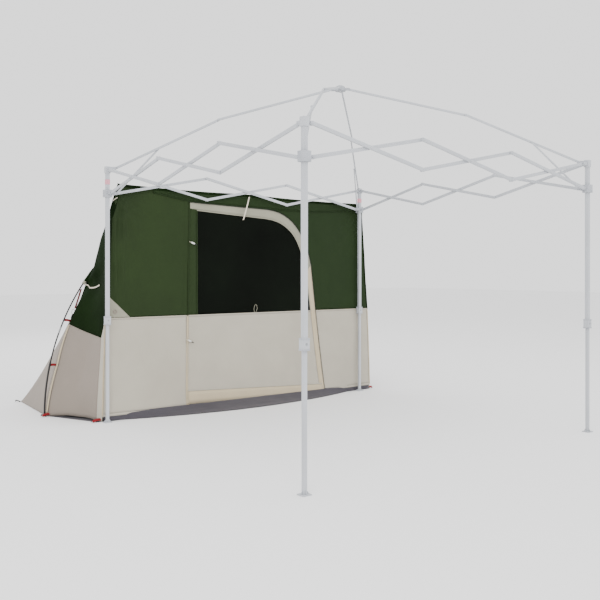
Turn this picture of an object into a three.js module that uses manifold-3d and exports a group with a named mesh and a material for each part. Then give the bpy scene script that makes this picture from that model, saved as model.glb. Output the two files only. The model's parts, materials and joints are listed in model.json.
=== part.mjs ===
// A pop-up canopy frame with a side tent hung on one of its four sides.
// The frame has four telescopic legs, a scissor truss on each side and a folding peak.
// Millimetres, +Z up. The tent stands on the +Y side of the frame.
import * as THREE from 'three';
import { mergeVertices } from 'three/addons/utils/BufferGeometryUtils.js';
import Module from 'manifold-3d';

const wasm = await Module();
wasm.setup();

// ---- Driving dimensions ----

const SPAN = 2920;                 // leg axis to leg axis, both ways
const MIDDLE = SPAN / 2;

const TUBE = 30;                   // outer leg tube, square
const TUBE_BORE = 27;
const TUBE_BOTTOM = 890;
const TUBE_TOP = 2205;
const INNER_TUBE = 25;
const INNER_TOP = 1260;
const FOOT = { side: 66, thick: 6 };
const HOUSING = { side: 46, bottom: 860, top: 936 };
const BUTTON = { radius: 7, hole: 7.6, z: 900, inner: 15.5, outer: 26 };

const TOP_PIVOT_Z = 2223;
const SLIDER_PIVOT_Z = 2019;
const PIVOT_OFFSET = 54;           // truss pivot from the leg axis
const BRACKET = { side: 42, bottom: 2198, top: 2256, roof: 4 };
const SLIDER = { side: 60, bore: 32, height: 66 };
const LUG = { height: 26, reach: 11, root: 2 };

const UNITS = 3;                   // scissor crossings on each side
const UNIT_WIDTH = (SPAN - 2 * PIVOT_OFFSET) / UNITS;
const UNIT_RISE = TOP_PIVOT_Z - SLIDER_PIVOT_Z;
const BAR_LENGTH = Math.hypot(UNIT_WIDTH, UNIT_RISE);
const BAR_ANGLE = Math.atan2(UNIT_RISE, UNIT_WIDTH);
const BAR = { height: 25, thick: 12, overhang: 14, corner: 6 };
const GAP = 1;                     // between two bars that cross
const LAYER = (BAR.thick + GAP) / 2;

const RIVET = { radius: 3, hole: 3.6, head: 6.5, headHeight: 3, play: 0.5 };
const RIVET_SIDES = 8;

const RAFTER = { pivot: 70, pivotZ: 2240, height: 18, thick: 12, overhang: 10, corner: 4 };
const RAFTER_ARM = { height: 24, reach: 11 };
const KNUCKLE = { out: 1000, z: 2650 };
const HUB = { pivot: 70, z: 2890, core: 46, height: 30, dome: 20, rim: 6 };
const HUB_PLATE = { height: 20, root: 6, reach: 10 };
const HALF_DIAGONAL = SPAN / Math.SQRT2;
const STRUT = { pivot: 75, joint: 425.2, height: 13, thick: 11, overhang: 9, corner: 3 };
const STRUT_ARM = { height: 26, root: 4, reach: 10 };

const CLOTH = 3;                   // thickness of the fabric solids
const SEAM_GAP = 3;                // kept between neighbouring fabric solids
const HEM_Z = 8;                   // lower edge of the walls, above the ground sheet
const FRONT_Y = 2960;              // outer face of the front wall
const HOOP_Y = 3570;
const REAR_Y = 4550;
const EAVE_MIDDLE_Z = 2105;
// How far inside its leg each side of the front wall ends, at its foot, its head and its eave.
const LEFT_EDGE = { foot: -30, head: 20, headZ: 1800, eave: 118, eaveZ: 2117 };
const RIGHT_EDGE = { foot: -188, head: -60, headZ: 2052, eave: -15, eaveZ: 2087 };
const HOOP = { halfWidth: 1790, height: 2020, radius: 6.5 };
const HOOP_CLOTH = { halfWidth: 1722, height: 1995 };
const REAR_HALF_WIDTH = 1700;
const SHOULDER = { start: 46, end: 50 };   // degrees round the hoop where the roof begins
// The door and its window are D shapes: a straight left side, a head that slopes down to turnX
// and rounds over, and a right side that leans out from turnZ to its foot.
const DOOR = {
  bottom: 62,
  left: { foot: 800, head: 830 },
  head: { left: 1991, right: 1964, turnX: 1720 },
  right: { turnX: 2270, turnZ: 1400, foot: 2440 },
};
const WINDOW = {
  bottom: 930,
  left: { foot: 912, head: 912 },
  head: { left: 1919, right: 1871, turnX: 1700 },
  right: { turnX: 2204, turnZ: 1326, foot: 2271 },
};
const TURN = { run: 360, drop: 24, lean: 60, rise: 240 };   // handles of the D's round corner
const DOOR_GAP = 3;
const MESH = { gap: 2, thick: 2, recess: 0.5 };
const FLOOR = {
  thick: 3,
  cornerY: 2985,
  leftOut: 70,                     // front corners, outside their legs
  rightOut: 200,
  legX: 120,                       // the front edge passes behind the foot of each leg
  legY: 2965,
  bendX: 420,                      // then bows forward, furthest at its middle
  bendY: 2840,
  reachX: 950,
  bowY: 2720,
};

// ---- Finishes ----

const finish = (color, roughness, metalness = 0) =>
  new THREE.MeshStandardMaterial({ color, roughness, metalness });

const FINISHES = {
  steel: finish(0xd4d6d8, 0.45, 0.2),
  plastic: finish(0xc8cacd, 0.6),
  green: finish(0x3e4a2e, 0.9),
  beige: finish(0xbebab2, 0.9),
  mesh: finish(0x1d1816, 0.95),
  floor: finish(0x69676c, 0.8),
  pole: finish(0x2d2d32, 0.4),
};

// ---- Solids ----

const THROUGH = 50;                // how far a drill runs past both sides of a bar
const PAST = 1;                    // how far a cut runs past a face
const PUNCH = { start: -5, depth: 20 };   // a cut through cloth, from in front of it

function solid(geometry) {
  const bare = geometry.index ? geometry.clone() : geometry;
  bare.deleteAttribute('normal');
  bare.deleteAttribute('uv');
  const merged = mergeVertices(bare, 1e-3);
  return new wasm.Manifold(new wasm.Mesh({
    numProp: 3,
    vertProperties: new Float32Array(merged.attributes.position.array),
    triVerts: new Uint32Array(merged.index.array),
  }));
}

function geometryOf(manifold) {
  const mesh = manifold.getMesh();
  const geometry = new THREE.BufferGeometry();
  geometry.setAttribute('position', new THREE.BufferAttribute(mesh.vertProperties, 3));
  geometry.setIndex(new THREE.BufferAttribute(mesh.triVerts, 1));
  geometry.computeVertexNormals();
  return geometry;
}

const join = (...pieces) => pieces.reduce((whole, piece) => whole.add(piece));

// A box between two corners.
function block(low, high) {
  const size = high.map((value, i) => value - low[i]);
  const centre = high.map((value, i) => (value + low[i]) / 2);
  return solid(new THREE.BoxGeometry(...size).translate(...centre));
}

// A cylinder along local Y from one y to another, centred on (x, z).
function pin(x, z, radius, from, to) {
  const rod = new THREE.CylinderGeometry(radius, radius, to - from, RIVET_SIDES);
  return solid(rod.translate(x, (from + to) / 2, z));
}

// A rivet whose shank fills a hole, with a head past each end.
function rivet(x, z, from, to) {
  return join(
    pin(x, z, RIVET.radius, from, to),
    pin(x, z, RIVET.head, from - RIVET.headHeight, from),
    pin(x, z, RIVET.head, to, to + RIVET.headHeight),
  );
}

// A head lying on one face of a bar, looking out along +Y or -Y.
function rivetHead(x, z, face, out) {
  const tip = face + out * RIVET.headHeight;
  const root = face - out * RIVET.headHeight;
  return pin(x, z, RIVET.head, Math.min(root, tip), Math.max(root, tip));
}

const drill = (x, z) => pin(x, z, RIVET.hole, -THROUGH, THROUGH);

// A flat bar along X between two pivots, with its corners cut off.
function bar(length, { height, thick, overhang, corner }, y) {
  const left = -overhang;
  const right = length + overhang;
  const half = height / 2;
  const outline = new THREE.Shape([
    new THREE.Vector2(left, -half + corner),
    new THREE.Vector2(left + corner, -half),
    new THREE.Vector2(right - corner, -half),
    new THREE.Vector2(right, -half + corner),
    new THREE.Vector2(right, half - corner),
    new THREE.Vector2(right - corner, half),
    new THREE.Vector2(left + corner, half),
    new THREE.Vector2(left, half - corner),
  ]);
  const geometry = new THREE.ExtrudeGeometry(outline, { depth: thick, bevelEnabled: false });
  return solid(geometry.rotateX(Math.PI / 2).translate(0, y + thick / 2, 0));
}

// A closed skin of even thickness on the inner side of a grid of points.
function skin(rows, thickness) {
  const columns = rows[0].length;
  const at = (i, j) => rows[Math.min(Math.max(i, 0), rows.length - 1)][
    Math.min(Math.max(j, 0), columns - 1)];
  const inner = rows.map((row, i) => row.map((point, j) => {
    const along = at(i, j + 1).clone().sub(at(i, j - 1));
    const across = at(i + 1, j).clone().sub(at(i - 1, j));
    const inward = across.cross(along).normalize();
    return point.clone().addScaledVector(inward, thickness);
  }));
  const points = [...rows.flat(), ...inner.flat()];
  const half = rows.length * columns;
  const faces = [];
  const quad = (a, b, c, d) => faces.push(a, b, c, a, c, d);
  for (let i = 0; i < rows.length - 1; i += 1) {
    for (let j = 0; j < columns - 1; j += 1) {
      const a = i * columns + j;
      quad(a, a + 1, a + columns + 1, a + columns);
      quad(half + a, half + a + columns, half + a + columns + 1, half + a + 1);
    }
  }
  const rim = [];
  for (let j = 0; j < columns; j += 1) rim.push(j);
  for (let i = 1; i < rows.length; i += 1) rim.push(i * columns + columns - 1);
  for (let j = columns - 2; j >= 0; j -= 1) rim.push((rows.length - 1) * columns + j);
  for (let i = rows.length - 2; i > 0; i -= 1) rim.push(i * columns);
  rim.forEach((a, k) => {
    const b = rim[(k + 1) % rim.length];
    quad(a, half + a, half + b, b);
  });
  const geometry = new THREE.BufferGeometry();
  const position = new Float32Array(points.flatMap((p) => p.toArray()));
  geometry.setAttribute('position', new THREE.BufferAttribute(position, 3));
  geometry.setIndex(faces);
  return solid(geometry);
}

// ---- Scene graph ----

const screenHouse = new THREE.Group();

function add(parent, name, manifold, material) {
  const mesh = new THREE.Mesh(geometryOf(manifold), material);
  mesh.name = name;
  parent.add(mesh);
  return mesh;
}

function groupAt(x, y, z, turn = 0) {
  const group = new THREE.Group();
  group.position.set(x, y, z);
  group.rotation.z = turn;
  screenHouse.add(group);
  return group;
}

const CORNERS = {
  a: { x: 0, y: SPAN },
  b: { x: 0, y: 0 },
  c: { x: SPAN, y: 0 },
  d: { x: SPAN, y: SPAN },
};

// Each side runs from a first leg to a second one.
const SIDES = [
  { name: 'ad', first: 'a', second: 'd' },
  { name: 'ab', first: 'a', second: 'b' },
  { name: 'bc', first: 'b', second: 'c' },
  { name: 'dc', first: 'd', second: 'c' },
];

function turnOf(side) {
  const from = CORNERS[side.first];
  const to = CORNERS[side.second];
  return Math.atan2(to.y - from.y, to.x - from.x);
}

// The direction from a corner to the middle of the roof.
function inwardOf(corner) {
  return Math.atan2(MIDDLE - corner.y, MIDDLE - corner.x);
}

// The peak drifts towards corner C while it folds, so the rafters of D are mirrored.
const lateralOf = (key) => (key === 'd' ? -1 : 1);

// ---- Scissor trusses ----

const BAR_FACE = LAYER + BAR.thick / 2;

// A bar that falls away from the first leg; it carries the rivets.
function fallingBar() {
  const rivets = [0, BAR_LENGTH / 2, BAR_LENGTH].map((x) => rivet(x, 0, -BAR_FACE, BAR_FACE + RIVET.play));
  return join(bar(BAR_LENGTH, BAR, -LAYER), ...rivets);
}

// A bar that rises away from the first leg; it has a hole for each rivet.
function risingBar() {
  const holes = [0, BAR_LENGTH / 2, BAR_LENGTH].map((x) => drill(x, 0));
  return bar(BAR_LENGTH, BAR, LAYER).subtract(join(...holes));
}

function truss(side) {
  const { x, y } = CORNERS[side.first];
  const group = groupAt(x, y, 0, turnOf(side));
  for (let unit = 0; unit < UNITS; unit += 1) {
    const start = PIVOT_OFFSET + unit * UNIT_WIDTH;
    const down = add(group, `truss_${side.name}_down_${unit + 1}`, fallingBar(), FINISHES.steel);
    down.position.set(start, 0, TOP_PIVOT_Z);
    down.rotation.y = BAR_ANGLE;
    const up = add(group, `truss_${side.name}_up_${unit + 1}`, risingBar(), FINISHES.steel);
    up.position.set(start, 0, SLIDER_PIVOT_Z);
    up.rotation.y = -BAR_ANGLE;
  }
}

// ---- Legs ----

// A lug on local Y layer -1 carries a rivet; one on layer 1 has a hole.
function lug(layer, z, start) {
  const middle = layer * LAYER;
  const plate = block(
    [start, middle - BAR.thick / 2, z - LUG.height / 2],
    [PIVOT_OFFSET + LUG.reach, middle + BAR.thick / 2, z + LUG.height / 2],
  );
  if (layer > 0) return plate.subtract(drill(PIVOT_OFFSET, z));
  return plate.add(rivet(PIVOT_OFFSET, z, -BAR_FACE, BAR_FACE + RIVET.play));
}

// The sides that meet at a leg, with the layer of each lug at the top and at the slider.
function lugsOf(key, z, start, top) {
  return SIDES.filter((side) => side.first === key || side.second === key).map((side) => {
    const isFirst = side.first === key;
    const topLayer = isFirst ? 1 : -1;
    const layer = top ? topLayer : -topLayer;
    if (isFirst) return lug(layer, z, start).rotate([0, 0, THREE.MathUtils.radToDeg(turnOf(side))]);
    const facing = lug(layer, z, start).mirror([1, 0, 0]);
    return facing.rotate([0, 0, THREE.MathUtils.radToDeg(turnOf(side))]);
  });
}

// An arm towards the middle of the roof, beside a rafter or a strut.
function arm(key, start, end, z, height, low, high) {
  const plate = block([start, low, z - height / 2], [end, high, z + height / 2]);
  return orientArm(key, plate);
}

function orientArm(key, piece) {
  const sided = lateralOf(key) < 0 ? piece.mirror([0, 1, 0]) : piece;
  return sided.rotate([0, 0, THREE.MathUtils.radToDeg(inwardOf(CORNERS[key]))]);
}

const RAFTER_FACE = GAP / 2 + RIVET.play;
const RAFTER_OUT = RAFTER_FACE + RAFTER.thick;

function outerLeg(key) {
  const half = TUBE / 2;
  const bore = TUBE_BORE / 2;
  const shell = HOUSING.side / 2;
  const cap = BRACKET.side / 2;
  const tube = block([-half, -half, TUBE_BOTTOM], [half, half, TUBE_TOP]);
  const housing = block([-shell, -shell, HOUSING.bottom], [shell, shell, HOUSING.top]);
  const hollow = block([-bore, -bore, HOUSING.bottom - PAST], [bore, bore, BRACKET.bottom - BRACKET.roof]);
  const bracket = block([-cap, -cap, BRACKET.bottom], [cap, cap, BRACKET.top]);
  const buttonHole = pin(0, BUTTON.z, BUTTON.hole, -shell - PAST, 0);
  const reach = RAFTER.pivot + RAFTER_ARM.reach;
  const rafterArm = arm(key, 0, reach, RAFTER.pivotZ, RAFTER_ARM.height, -RAFTER_OUT, -RAFTER_FACE);
  const rafterRivet = rivet(RAFTER.pivot, RAFTER.pivotZ, -RAFTER_OUT, RAFTER_OUT + RIVET.play);
  return join(
    tube.add(housing).subtract(hollow).subtract(buttonHole),
    bracket,
    rafterArm,
    orientArm(key, rafterRivet),
    ...lugsOf(key, TOP_PIVOT_Z, cap - LUG.root, true),
  );
}

function slider(key) {
  const half = SLIDER.side / 2;
  const bore = SLIDER.bore / 2;
  const low = SLIDER_PIVOT_Z - SLIDER.height / 2;
  const high = SLIDER_PIVOT_Z + SLIDER.height / 2;
  const collar = block([-half, -half, low], [half, half, high])
    .subtract(block([-bore, -bore, low - PAST], [bore, bore, high + PAST]));
  const root = half + STRUT_ARM.root;
  const reach = STRUT.pivot + STRUT_ARM.reach;
  const strutArm = arm(key, root, reach, SLIDER_PIVOT_Z, STRUT_ARM.height, RAFTER_FACE, RAFTER_OUT);
  return join(collar, strutArm, ...lugsOf(key, SLIDER_PIVOT_Z, half - LUG.root, false));
}

function innerLeg() {
  const half = INNER_TUBE / 2;
  const foot = FOOT.side / 2;
  return join(
    block([-half, -half, 0], [half, half, INNER_TOP]),
    block([-foot, -foot, 0], [foot, foot, FOOT.thick]),
  );
}

const lockButton = () => pin(0, BUTTON.z, BUTTON.radius, -BUTTON.outer, -BUTTON.inner);

function leg(key) {
  const { x, y } = CORNERS[key];
  const group = groupAt(x, y, 0);
  add(group, `leg_${key}_outer`, outerLeg(key), FINISHES.steel);
  add(group, `leg_${key}_inner`, innerLeg(), FINISHES.steel);
  add(group, `leg_${key}_lock_button`, lockButton(), FINISHES.plastic);
  add(group, `slider_${key}`, slider(key), FINISHES.plastic);
}

// ---- Folding peak ----

const LOWER = {
  length: Math.hypot(KNUCKLE.out - RAFTER.pivot, KNUCKLE.z - RAFTER.pivotZ),
  angle: Math.atan2(KNUCKLE.z - RAFTER.pivotZ, KNUCKLE.out - RAFTER.pivot),
};
const UPPER_RUN = HALF_DIAGONAL - HUB.pivot - KNUCKLE.out;
const UPPER = {
  length: Math.hypot(UPPER_RUN, HUB.z - KNUCKLE.z),
  angle: Math.atan2(HUB.z - KNUCKLE.z, UPPER_RUN),
};
const JOINT_POINT = {
  out: RAFTER.pivot + STRUT.joint * Math.cos(LOWER.angle),
  z: RAFTER.pivotZ + STRUT.joint * Math.sin(LOWER.angle),
};
const STRUT_LENGTH = Math.hypot(JOINT_POINT.out - STRUT.pivot, JOINT_POINT.z - SLIDER_PIVOT_Z);
const STRUT_ANGLE = Math.atan2(JOINT_POINT.z - SLIDER_PIVOT_Z, JOINT_POINT.out - STRUT.pivot);

const RAFTER_LAYER = (RAFTER_FACE + RAFTER_OUT) / 2;
const STRUT_FACE = RAFTER_OUT + GAP;
const STRUT_OUT = STRUT_FACE + STRUT.thick;

// The lower rafter carries the strut's rivet, and on corner A the knuckle's rivet too.
function lowerRafter(closedKnuckle) {
  const end = LOWER.length;
  const knuckle = closedKnuckle
    ? rivet(end, 0, -RAFTER_OUT - RIVET.play, RAFTER_OUT)
    : rivetHead(end, 0, RAFTER_OUT, 1);
  return join(
    bar(end, RAFTER, RAFTER_LAYER).subtract(drill(0, 0)),
    rivet(STRUT.joint, 0, RAFTER_FACE + RIVET.headHeight, STRUT_OUT + RIVET.play),
    knuckle,
  );
}

function upperRafter(closedKnuckle) {
  const plain = bar(UPPER.length, RAFTER, -RAFTER_LAYER).subtract(drill(UPPER.length, 0));
  if (closedKnuckle) return plain.subtract(drill(0, 0));
  return plain.add(rivetHead(0, 0, -RAFTER_OUT, -1));
}

function strut() {
  const middle = (STRUT_FACE + STRUT_OUT) / 2;
  return bar(STRUT_LENGTH, STRUT, middle)
    .subtract(drill(STRUT_LENGTH, 0))
    .add(rivetHead(0, 0, STRUT_OUT, 1));
}

function rafters(key) {
  const { x, y } = CORNERS[key];
  const group = groupAt(x, y, 0, inwardOf(CORNERS[key]));
  const closed = key === 'a';
  const sided = (piece) => (lateralOf(key) < 0 ? piece.mirror([0, 1, 0]) : piece);
  const place = (mesh, out, z, angle) => {
    mesh.position.set(out, 0, z);
    mesh.rotation.y = -angle;
  };
  const lower = add(group, `rafter_${key}_lower`, sided(lowerRafter(closed)), FINISHES.steel);
  place(lower, RAFTER.pivot, RAFTER.pivotZ, LOWER.angle);
  const upper = add(group, `rafter_${key}_upper`, sided(upperRafter(closed)), FINISHES.steel);
  place(upper, KNUCKLE.out, KNUCKLE.z, UPPER.angle);
  const brace = add(group, `strut_${key}`, sided(strut()), FINISHES.steel);
  place(brace, STRUT.pivot, SLIDER_PIVOT_Z, STRUT_ANGLE);
}

function hub() {
  const low = -HUB.height / 2;
  const high = HUB.height / 2;
  const core = new THREE.LatheGeometry([
    new THREE.Vector2(0, low),
    new THREE.Vector2(HUB.core, low),
    new THREE.Vector2(HUB.core, high - HUB.rim),
    new THREE.Vector2(HUB.core * 0.8, high + HUB.dome * 0.5),
    new THREE.Vector2(HUB.core * 0.4, high + HUB.dome * 0.9),
    new THREE.Vector2(0, high + HUB.dome),
  ], 16);
  const pieces = [solid(core.rotateX(Math.PI / 2))];
  for (const key of Object.keys(CORNERS)) {
    const half = HUB_PLATE.height / 2;
    const root = HUB.core - HUB_PLATE.root;
    const plate = block([root, RAFTER_FACE, -half], [HUB.pivot + HUB_PLATE.reach, RAFTER_OUT, half])
      .add(rivet(HUB.pivot, 0, -RAFTER_OUT - RIVET.play, RAFTER_OUT));
    const sided = lateralOf(key) < 0 ? plate : plate.mirror([0, 1, 0]);
    const outward = inwardOf(CORNERS[key]) + Math.PI;
    pieces.push(sided.rotate([0, 0, THREE.MathUtils.radToDeg(outward)]));
  }
  return join(...pieces);
}

// ---- Side tent ----

// Points of the front wall's edge, from a foot to the middle of the eave.
function frontHalfEdge(steps, { foot, head, headZ, eave, eaveZ }) {
  const edge = [];
  for (let i = 0; i <= steps; i += 1) {
    const share = i / steps;
    const x = THREE.MathUtils.lerp(foot, head, share);
    edge.push([x, THREE.MathUtils.lerp(HEM_Z, headZ, share)]);
  }
  for (let i = 0; i <= steps; i += 1) {
    const share = i / steps;
    const x = THREE.MathUtils.lerp(eave, MIDDLE, share);
    edge.push([x, THREE.MathUtils.lerp(eaveZ, EAVE_MIDDLE_Z, share)]);
  }
  return edge;
}

const mirrored = (edge) => edge.slice(0, -1).reverse().map(([x, z]) => [SPAN - x, z]);

function frontEdge(steps) {
  return [...frontHalfEdge(steps, LEFT_EDGE), ...mirrored(frontHalfEdge(steps, RIGHT_EDGE))];
}

// Points round a half ellipse, matched one by one to the front edge.
function archEdge(steps, halfWidth, height) {
  const degrees = [];
  for (let i = 0; i <= steps; i += 1) degrees.push(SHOULDER.start * i / steps);
  for (let i = 0; i <= steps; i += 1) {
    degrees.push(THREE.MathUtils.lerp(SHOULDER.end, 90, i / steps));
  }
  const half = degrees.map(THREE.MathUtils.degToRad).map((angle) => [
    MIDDLE - halfWidth * Math.cos(angle),
    HEM_Z + height * Math.sin(angle),
  ]);
  return [...half, ...mirrored(half)];
}

const hoopEdge = (steps) =>
  archEdge(steps, HOOP_CLOTH.halfWidth, HOOP_CLOTH.height - HEM_Z);

const row = (edge, y) => edge.map(([x, z]) => new THREE.Vector3(x, y, z));

const EDGE_STEPS = 8;

function canopySkin() {
  const front = row(frontEdge(EDGE_STEPS), FRONT_Y + CLOTH + SEAM_GAP);
  const back = row(hoopEdge(EDGE_STEPS), HOOP_Y - SEAM_GAP);
  return skin([front, back], CLOTH);
}

function rearWall() {
  const top = row(hoopEdge(EDGE_STEPS), HOOP_Y + SEAM_GAP);
  const foot = row(archEdge(EDGE_STEPS, REAR_HALF_WIDTH, 0), REAR_Y);
  return skin([top, foot], CLOTH);
}

// The D shape of the door or of its window, shrunk by an inset.
function outlineOfD({ bottom, left, head, right }, inset) {
  const shape = new THREE.Shape();
  shape.moveTo(left.foot + inset, bottom + inset);
  shape.lineTo(left.head + inset, head.left - inset);
  shape.lineTo(head.turnX - inset, head.right - inset);
  shape.bezierCurveTo(
    head.turnX + TURN.run - inset, head.right - TURN.drop - inset,
    right.turnX - TURN.lean - inset, right.turnZ + TURN.rise - inset,
    right.turnX - inset, right.turnZ - inset,
  );
  shape.lineTo(right.foot - inset, bottom + inset);
  shape.closePath();
  return shape;
}

// A flat panel standing in the XZ plane, with its outer face at the front.
function standing(shape, thickness, y) {
  const geometry = new THREE.ExtrudeGeometry(shape, {
    depth: thickness, bevelEnabled: false, curveSegments: 6,
  });
  return solid(geometry.rotateX(Math.PI / 2).translate(0, y + thickness, 0));
}

const punch = (shape) => standing(shape, PUNCH.depth, FRONT_Y + PUNCH.start);

function frontWall() {
  const outline = new THREE.Shape(frontEdge(1).map(([x, z]) => new THREE.Vector2(x, z)));
  return standing(outline, CLOTH, FRONT_Y).subtract(punch(outlineOfD(DOOR, 0)));
}

function doorPanel() {
  return standing(outlineOfD(DOOR, DOOR_GAP), CLOTH, FRONT_Y).subtract(punch(outlineOfD(WINDOW, 0)));
}

const doorWindow = () =>
  standing(outlineOfD(WINDOW, MESH.gap), MESH.thick, FRONT_Y + MESH.recess);

// The ground sheet bows forward between the two front corners.
function groundSheet() {
  const { legX, legY, bendX, bendY, reachX, bowY, cornerY } = FLOOR;
  const outline = new THREE.Shape();
  outline.moveTo(-FLOOR.leftOut, cornerY);
  outline.lineTo(legX, legY);
  outline.bezierCurveTo(bendX, bendY, reachX, bowY, MIDDLE, bowY);
  outline.bezierCurveTo(SPAN - reachX, bowY, SPAN - bendX, bendY, SPAN - legX, legY);
  outline.lineTo(SPAN + FLOOR.rightOut, cornerY);
  outline.lineTo(MIDDLE + HOOP_CLOTH.halfWidth, HOOP_Y);
  outline.lineTo(MIDDLE + REAR_HALF_WIDTH, REAR_Y);
  outline.lineTo(MIDDLE - REAR_HALF_WIDTH, REAR_Y);
  outline.lineTo(MIDDLE - HOOP_CLOTH.halfWidth, HOOP_Y);
  outline.closePath();
  return solid(new THREE.ExtrudeGeometry(outline, {
    depth: FLOOR.thick, bevelEnabled: false, curveSegments: 8,
  }));
}

class HalfEllipse extends THREE.Curve {
  getPoint(t, target = new THREE.Vector3()) {
    const angle = Math.PI * t;
    const x = MIDDLE - HOOP.halfWidth * Math.cos(angle);
    return target.set(x, HOOP_Y, HOOP.height * Math.sin(angle));
  }
}

function hoopPole() {
  const section = new THREE.Shape();
  section.absarc(0, 0, HOOP.radius, 0, 2 * Math.PI);
  return solid(new THREE.ExtrudeGeometry(section, {
    steps: 48, extrudePath: new HalfEllipse(), curveSegments: 8, bevelEnabled: false,
  }));
}

function sideTent() {
  const group = groupAt(0, 0, 0);
  add(group, 'front_wall', frontWall(), FINISHES.green);
  add(group, 'door_panel', doorPanel(), FINISHES.beige);
  add(group, 'door_window_mesh', doorWindow(), FINISHES.mesh);
  add(group, 'canopy_skin', canopySkin(), FINISHES.green);
  add(group, 'rear_wall', rearWall(), FINISHES.green);
  add(group, 'ground_sheet', groundSheet(), FINISHES.floor);
  add(group, 'hoop_pole', hoopPole(), FINISHES.pole);
}

// ---- Assembly ----

Object.keys(CORNERS).forEach(leg);
SIDES.forEach(truss);
Object.keys(CORNERS).forEach(rafters);
add(groupAt(MIDDLE, MIDDLE, HUB.z), 'roof_hub', hub(), FINISHES.plastic);
sideTent();

// The origin is on the ground under the middle of the whole object.
const DEPTH_MIDDLE = (REAR_Y - FOOT.side / 2) / 2;
screenHouse.position.set(-MIDDLE, -DEPTH_MIDDLE, 0);
screenHouse.updateMatrixWorld(true);

export default screenHouse;
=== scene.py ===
"""Looks for a side tent on a folding canopy frame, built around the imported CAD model."""
import json
from math import asin, atan2, ceil, cos, dist, exp, hypot, pi, radians, sin

import bpy
import bmesh
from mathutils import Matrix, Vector, noise
from mathutils.geometry import delaunay_2d_cdt


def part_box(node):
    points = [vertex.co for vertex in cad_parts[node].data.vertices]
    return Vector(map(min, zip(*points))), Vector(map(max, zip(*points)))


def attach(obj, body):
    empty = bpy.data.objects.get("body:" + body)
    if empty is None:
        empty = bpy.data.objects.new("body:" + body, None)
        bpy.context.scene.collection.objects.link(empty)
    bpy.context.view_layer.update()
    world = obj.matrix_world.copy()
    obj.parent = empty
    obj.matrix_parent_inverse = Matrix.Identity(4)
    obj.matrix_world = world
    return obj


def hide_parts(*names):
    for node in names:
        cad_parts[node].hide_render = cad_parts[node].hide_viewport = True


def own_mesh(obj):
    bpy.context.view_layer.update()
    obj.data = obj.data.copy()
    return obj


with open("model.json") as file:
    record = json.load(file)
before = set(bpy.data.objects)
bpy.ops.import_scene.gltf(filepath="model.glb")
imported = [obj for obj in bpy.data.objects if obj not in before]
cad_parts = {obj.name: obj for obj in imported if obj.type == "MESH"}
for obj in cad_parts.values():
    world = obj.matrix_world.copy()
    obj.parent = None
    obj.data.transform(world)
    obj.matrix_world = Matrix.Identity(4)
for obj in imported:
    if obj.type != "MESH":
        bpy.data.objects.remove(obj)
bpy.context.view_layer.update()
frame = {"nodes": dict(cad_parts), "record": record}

# ---- Places read from the frame ----


def middle(node):
    low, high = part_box(node)
    return (Vector(low) + Vector(high)) / 2


CORNERS = ("a", "b", "c", "d")
LEG = {key: middle(f"leg_{key}_inner") for key in CORNERS}
SPAN = LEG["c"].x - LEG["b"].x
HALF = SPAN / 2
WALL_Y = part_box("front_wall")[0][1]
HOOP_Y = middle("hoop_pole").y
REAR_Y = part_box("rear_wall")[1][1]
ROOT = "tent_and_leg_a"
SIDES = ((-1, "left"), (1, "right"))


def at(x, y, z):
    """A point with x from the axis of leg B, y from the front wall's face and z from the ground."""
    return Vector((LEG["b"].x + x, WALL_Y + y, z))


CLOTH_REACH = 0.262    # of the cloth outside the legs' axes, at the hoop
REAR_REACH = 0.24    # of the rear's pegged corners outside the legs' axes
HOOP = {"y": HOOP_Y - WALL_Y, "half": HALF + 0.33, "height": 2.02, "radius": 0.0065}
CLOTH_HOOP = {"half": HALF + CLOTH_REACH, "height": 1.995}
REAR = {"y": REAR_Y - WALL_Y, "half": HALF + REAR_REACH}
SLEEVE_START = radians(37)    # place on the hoop where the pole's sleeve begins
SLEEVE_TURN = 0.02    # angle in which the cloth's edge comes over to the pole
SHOULDER = radians(46)    # place on the hoop that the top of a side is sewn towards


def clamp(value):
    return min(1.0, max(0.0, value))


def hump(share):
    """Rises from 0 at 0 to 1 halfway and falls back to 0 at 1."""
    return sin(pi * share)


def rough(x, y, z):
    """Smooth noise between -1 and 1."""
    return noise.noise(Vector((x, y, z)))


def ridge(offset, width):
    """A smooth ridge of height 1 at offset 0."""
    return exp(-(offset / width) ** 2)


# ---- Materials ----

PRINCIPLED = "Principled BSDF"


def new_material(name, color, roughness, metallic=0.0):
    """A material of one colour, to which the textures below are added."""
    material = bpy.data.materials.new(name)
    material.use_nodes = True
    shader = material.node_tree.nodes[PRINCIPLED]
    shader.inputs["Base Color"].default_value = (*color, 1)
    shader.inputs["Roughness"].default_value = roughness
    shader.inputs["Metallic"].default_value = metallic
    return material


def srgb(red, green, blue):
    """Linear colour from eight-bit sRGB."""
    def linear(value):
        share = value / 255
        return share / 12.92 if share <= 0.04045 else ((share + 0.055) / 1.055) ** 2.4
    return tuple(linear(value) for value in (red, green, blue))


def texture(material, kind, **settings):
    """A texture node fed with object coordinates."""
    nodes, links = material.node_tree.nodes, material.node_tree.links
    place = nodes.get("Place") or nodes.new("ShaderNodeTexCoord")
    place.name = "Place"
    node = nodes.new(f"ShaderNodeTex{kind}")
    for key, value in settings.items():
        if hasattr(node, key):
            setattr(node, key, value)
        else:
            node.inputs[key.replace("_", " ").title()].default_value = value
    links.new(place.outputs["Object"], node.inputs["Vector"])
    return node


def ramp(material, source, low, high):
    """A colour ramp between two colours, driven by a texture's factor."""
    nodes, links = material.node_tree.nodes, material.node_tree.links
    node = nodes.new("ShaderNodeValToRGB")
    first, last = node.color_ramp.elements
    first.position, last.position = 0.3, 0.7
    first.color, last.color = (*low, 1), (*high, 1)
    links.new(source.outputs[0], node.inputs["Fac"])
    return node


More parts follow.
